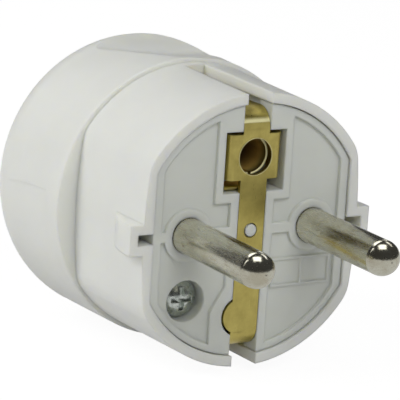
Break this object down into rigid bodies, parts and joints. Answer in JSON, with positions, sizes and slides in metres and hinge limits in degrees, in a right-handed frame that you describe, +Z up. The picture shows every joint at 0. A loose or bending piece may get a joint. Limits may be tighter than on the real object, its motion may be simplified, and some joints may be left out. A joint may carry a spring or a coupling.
{
  "type": "earthed mains plug",
  "caption": "Rewirable white mains plug with round pins, earth contacts above and below, and a socket for an earth pin.",
  "frame": {"origin": "middle of the front rim's plane, halfway between the pins", "axes": "-Y along the pins towards the outlet, +Y towards the cord's outlet, +Z up towards the earth socket"},
  "size_m": [0.0402, 0.069, 0.04],
  "materials": {
    "housing_plastic": "glossy moulded white plastic",
    "insert_plastic": "satin moulded white plastic",
    "nickel": "nickel-plated, lightly brushed",
    "brass": "rolled brass sheet",
    "zinc_steel": "zinc-plated steel"
  },
  "bodies": {
    "root": {"housing": "housing_plastic", "insert": "insert_plastic", "pin_left": "nickel", "pin_right": "nickel", "terminal_screw_left": "zinc_steel", "terminal_screw_right": "zinc_steel", "earth_strip": "brass", "earth_socket": "brass", "earth_terminal": "brass", "earth_terminal_screw": "zinc_steel", "fixing_screw": "zinc_steel", "cord_clamp": "zinc_steel", "cord_clamp_screw_left": "zinc_steel", "cord_clamp_screw_right": "zinc_steel"}
  },
  "joints": []
}
